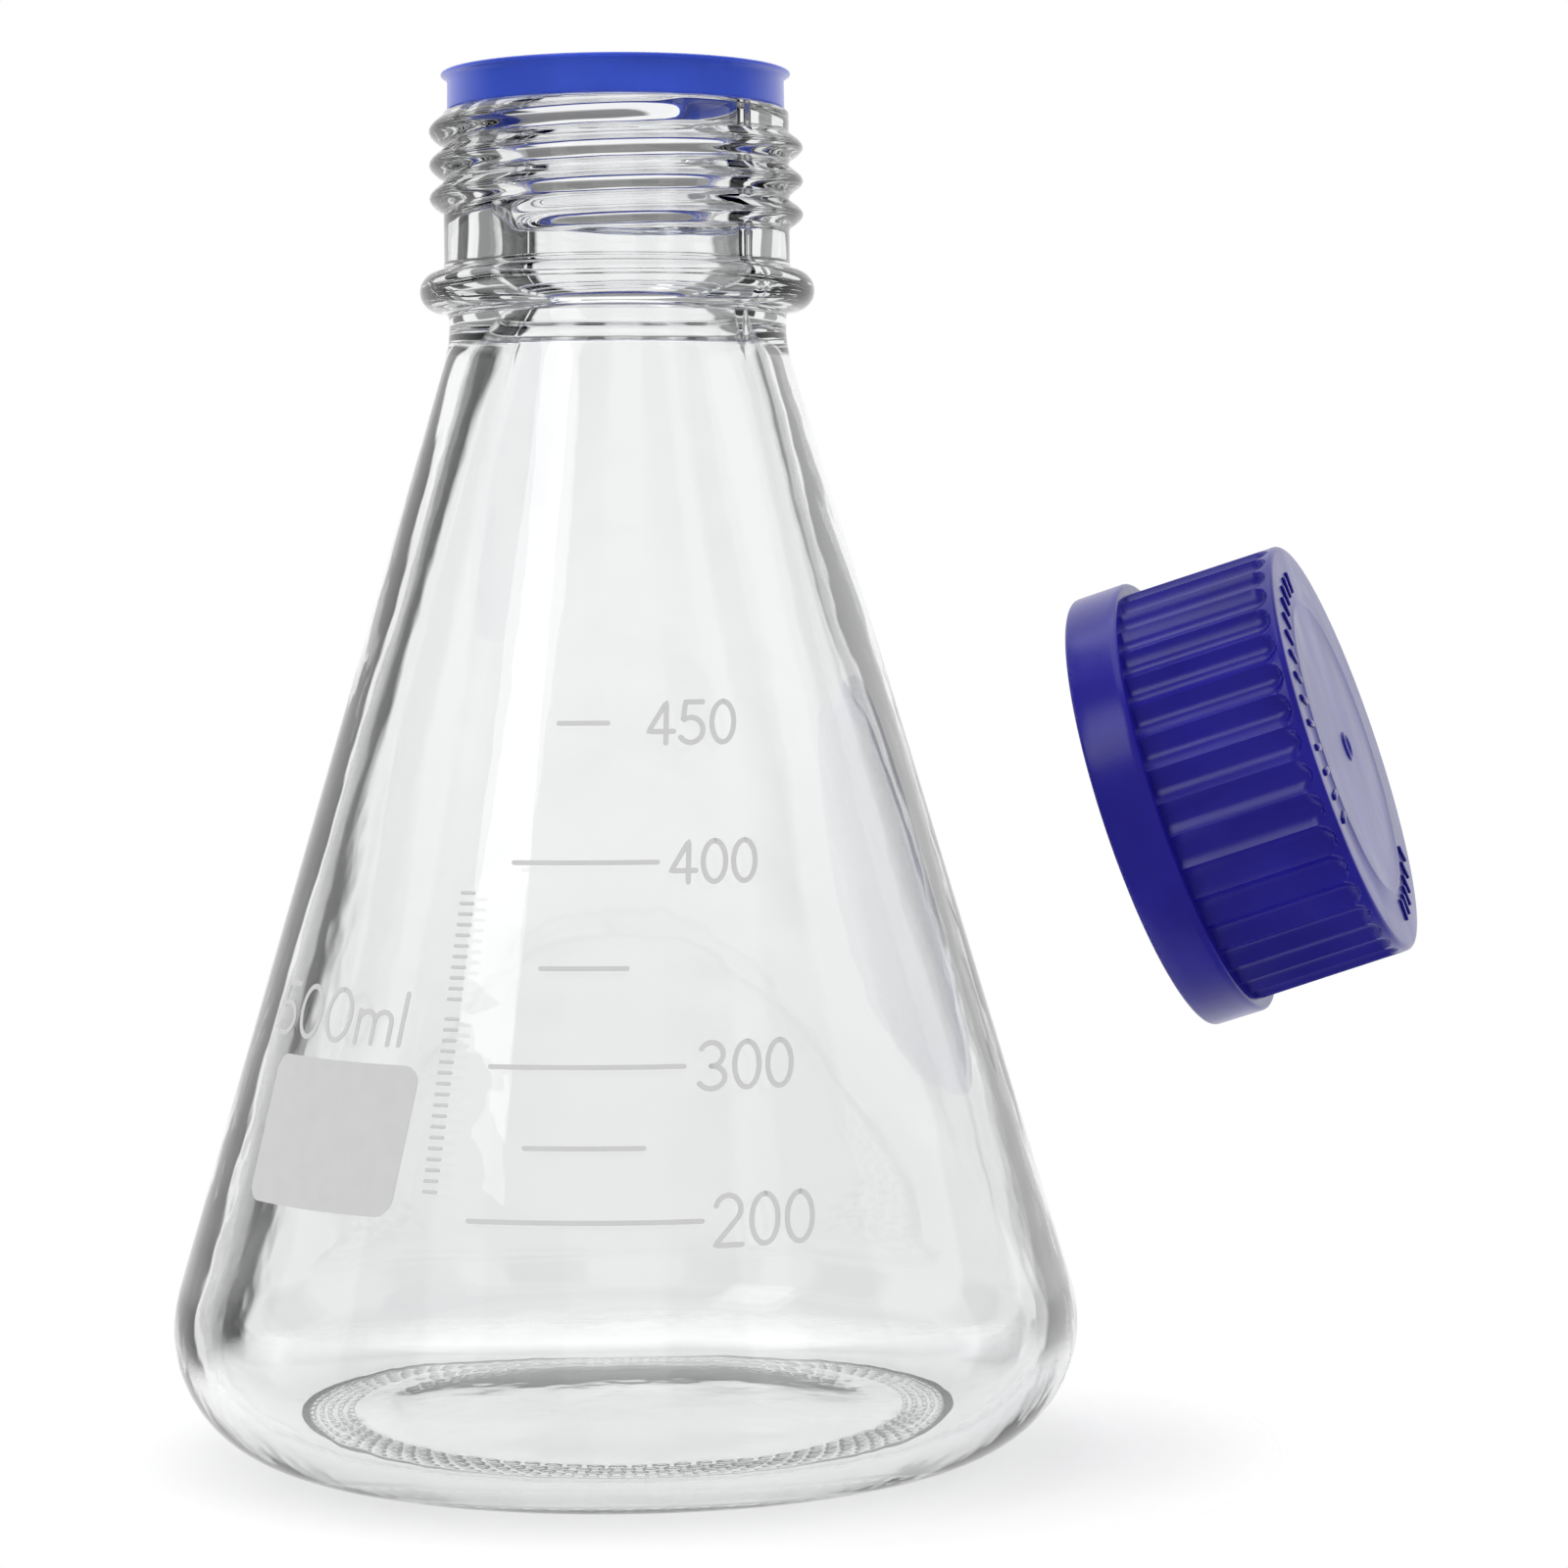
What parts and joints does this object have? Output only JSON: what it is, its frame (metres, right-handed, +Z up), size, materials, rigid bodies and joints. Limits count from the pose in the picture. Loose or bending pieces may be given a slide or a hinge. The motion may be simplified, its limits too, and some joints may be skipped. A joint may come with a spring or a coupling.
{
  "type": "erlenmeyer flask",
  "caption": "Conical glass flask with a screw neck, a push-on pouring ring and a loose fluted screw cap.",
  "frame": {"origin": "middle of the base, on the plane that the flask stands on", "axes": "+Z up along the flask's axis, -Y towards the printed scale, +X towards the loose cap"},
  "size_m": [0.1516, 0.109, 0.1654],
  "materials": {
    "clear_glass": "polished",
    "grey_enamel": "satin",
    "ring_plastic": "glossy, slightly translucent",
    "cap_plastic": "satin"
  },
  "bodies": {
    "flask": {"flask_glass": "clear_glass", "marking_field": "grey_enamel", "capacity_mark": "grey_enamel", "scale_lines": "grey_enamel", "scale_numerals": "grey_enamel", "tick_row": "grey_enamel"},
    "ring": {"pouring_ring": "ring_plastic"},
    "cap_carrier": {"cap_seal_lip": "cap_plastic"},
    "cap": {"screw_cap": "cap_plastic", "cap_roof_marks": "cap_plastic"}
  },
  "joints": [
    {"name": "ring_pull", "type": "slide", "parent": "flask", "child": "ring", "axis": [0, 0, 1], "range_m": [0, 0.008]},
    {"name": "cap_travel", "type": "slide", "parent": "flask", "child": "cap_carrier", "axis": [-0.9035, 0.2936, -0.3123], "range_m": [0, 0.0121]},
    {"name": "cap_turn", "type": "hinge", "parent": "cap_carrier", "child": "cap", "pos_m": [0.0635, -0.0008, 0.0763], "axis": [-0.9035, 0.2936, -0.3123], "range_deg": [0, 1080]}
  ],
  "couplings": [
    {"joint": "cap_travel", "follows": "cap_turn", "m_per_rad": 0.00063662}
  ]
}
